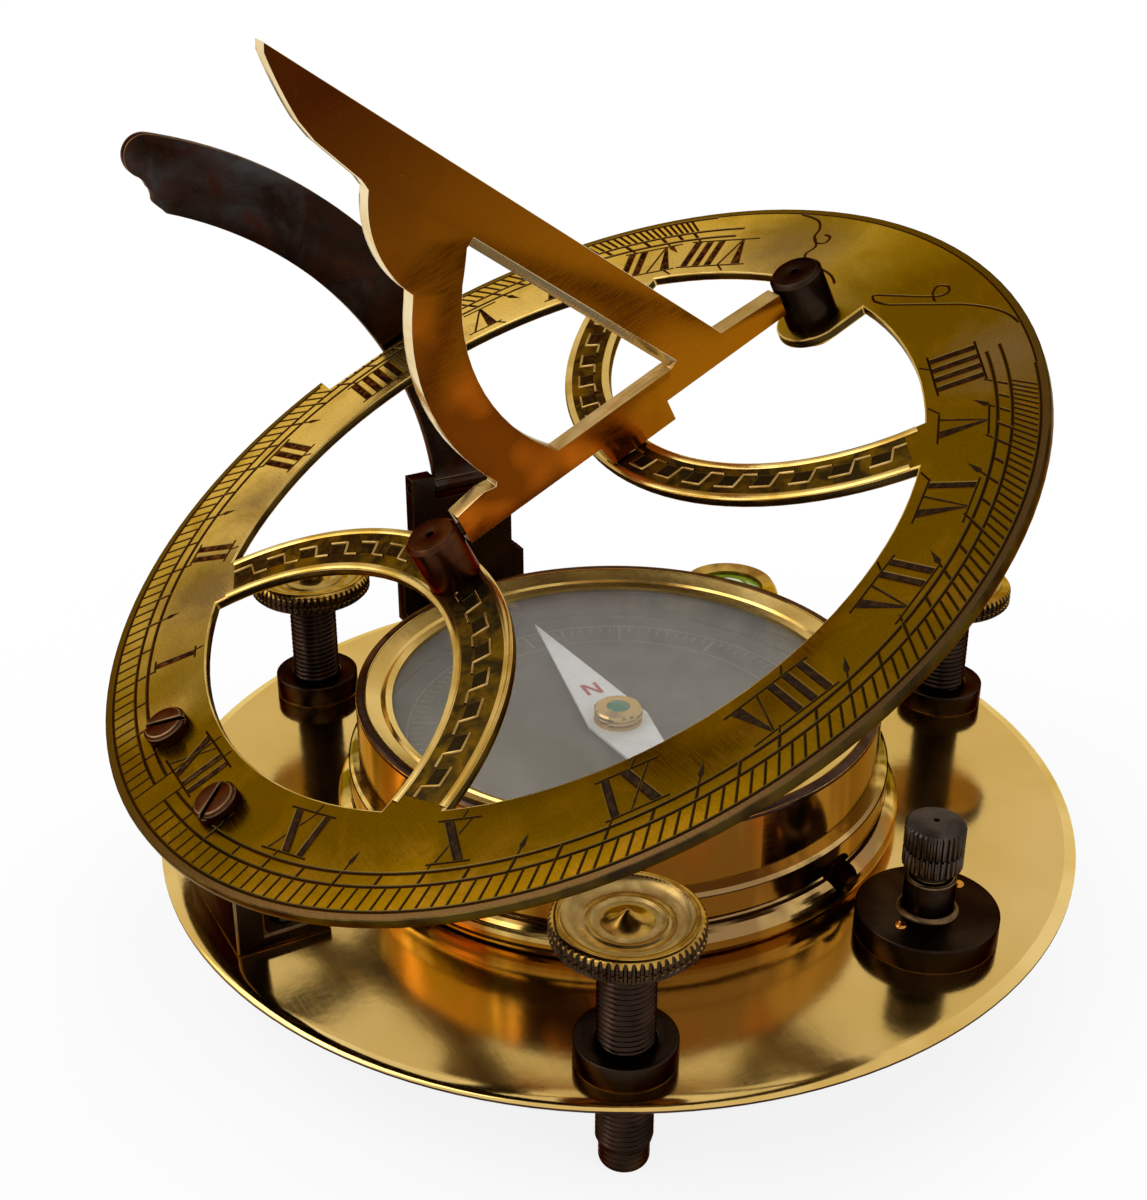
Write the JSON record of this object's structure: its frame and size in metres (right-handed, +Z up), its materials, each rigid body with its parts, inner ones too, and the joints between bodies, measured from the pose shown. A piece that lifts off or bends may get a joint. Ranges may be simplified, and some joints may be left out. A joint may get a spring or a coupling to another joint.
{
  "type": "tilting compass sundial",
  "caption": "Pierced hour ring with a folding gnomon, hinged over a round compass on a plate with levelling screws, a spirit level and a latitude arc.",
  "frame": {"origin": "centre of the circle through the three levelling screws, on the plane of their feet", "axes": "+Z up, +Y north along the meridian from the dial hinge to the single levelling screw, +X east"},
  "size_m": [0.1281, 0.1349, 0.1237],
  "materials": {
    "gold_brass": "polished, lightly tarnished",
    "pale_brass": "satin, engraved",
    "copper_brown": "toned brown",
    "dark_bronze": "blackened, worn at the edges",
    "clear_glass": "clear",
    "green_glass": "tinted liquid and glass",
    "needle_white": "white enamel"
  },
  "bodies": {
    "base": {"base_plate": "gold_brass", "levelling_bush_1": "dark_bronze", "levelling_bush_2": "dark_bronze", "levelling_bush_3": "dark_bronze", "case_foot": "gold_brass", "case_wall": "gold_brass", "case_bezel": "pale_brass", "case_glass": "clear_glass", "case_lock_screw": "pale_brass", "compass_card": "pale_brass", "needle_pivot": "pale_brass", "level_case": "gold_brass", "level_lens": "green_glass", "lock_foot": "dark_bronze", "lock_stem": "dark_bronze", "hinge_block": "dark_bronze", "hinge_pin": "dark_bronze", "arc_bracket": "dark_bronze", "arc_pin": "dark_bronze"},
    "dial": {"dial_ring": "pale_brass", "hinge_knuckle_1": "dark_bronze", "hinge_knuckle_2": "dark_bronze", "hinge_screw_1": "copper_brown", "hinge_screw_2": "copper_brown", "gnomon_post_south": "copper_brown", "gnomon_post_north": "dark_bronze", "post_nut": "dark_bronze"},
    "gnomon": {"gnomon_plate": "gold_brass", "gnomon_pin_south": "dark_bronze", "gnomon_pin_north": "dark_bronze"},
    "arc": {"latitude_arc": "dark_bronze"},
    "needle": {"needle_blade": "needle_white", "needle_cap": "pale_brass", "needle_jewel": "green_glass"},
    "levelling_1": {"levelling_rod_1": "dark_bronze", "levelling_head_1": "dark_bronze"},
    "levelling_2": {"levelling_rod_2": "dark_bronze", "levelling_head_2": "dark_bronze"},
    "levelling_3": {"levelling_rod_3": "dark_bronze", "levelling_head_3": "dark_bronze"},
    "needle_lock": {"lock_knob": "dark_bronze"}
  },
  "joints": [
    {"name": "dial_tilt", "type": "hinge", "parent": "base", "child": "dial", "pos_m": [0, -0.0593, 0.0333], "axis": [1, 0, 0], "range_deg": [-26.1, 63.8]},
    {"name": "gnomon_fold", "type": "hinge", "parent": "dial", "child": "gnomon", "pos_m": [0, -0.01486, 0.06692], "axis": [0, 0.8977, 0.4406], "range_deg": [0, 90]},
    {"name": "arc_fold", "type": "hinge", "parent": "base", "child": "arc", "pos_m": [-0.0624, 0.0034, 0.0389], "axis": [0, -1, 0], "range_deg": [0, 90]},
    {"name": "needle_spin", "type": "hinge", "parent": "base", "child": "needle", "pos_m": [0, -0.0016, 0.0277], "axis": [0, 0, 1], "continuous": true},
    {"name": "levelling_1_travel", "type": "slide", "parent": "base", "child": "levelling_1", "axis": [0, 0, 1], "range_m": [-0.0135, 0]},
    {"name": "levelling_2_travel", "type": "slide", "parent": "base", "child": "levelling_2", "axis": [0, 0, 1], "range_m": [-0.0135, 0]},
    {"name": "levelling_3_travel", "type": "slide", "parent": "base", "child": "levelling_3", "axis": [0, 0, 1], "range_m": [-0.0135, 0]},
    {"name": "needle_lock_turn", "type": "hinge", "parent": "base", "child": "needle_lock", "pos_m": [0.0457, 0.0175, 0.0277], "axis": [0, 0, 1], "continuous": true}
  ]
}
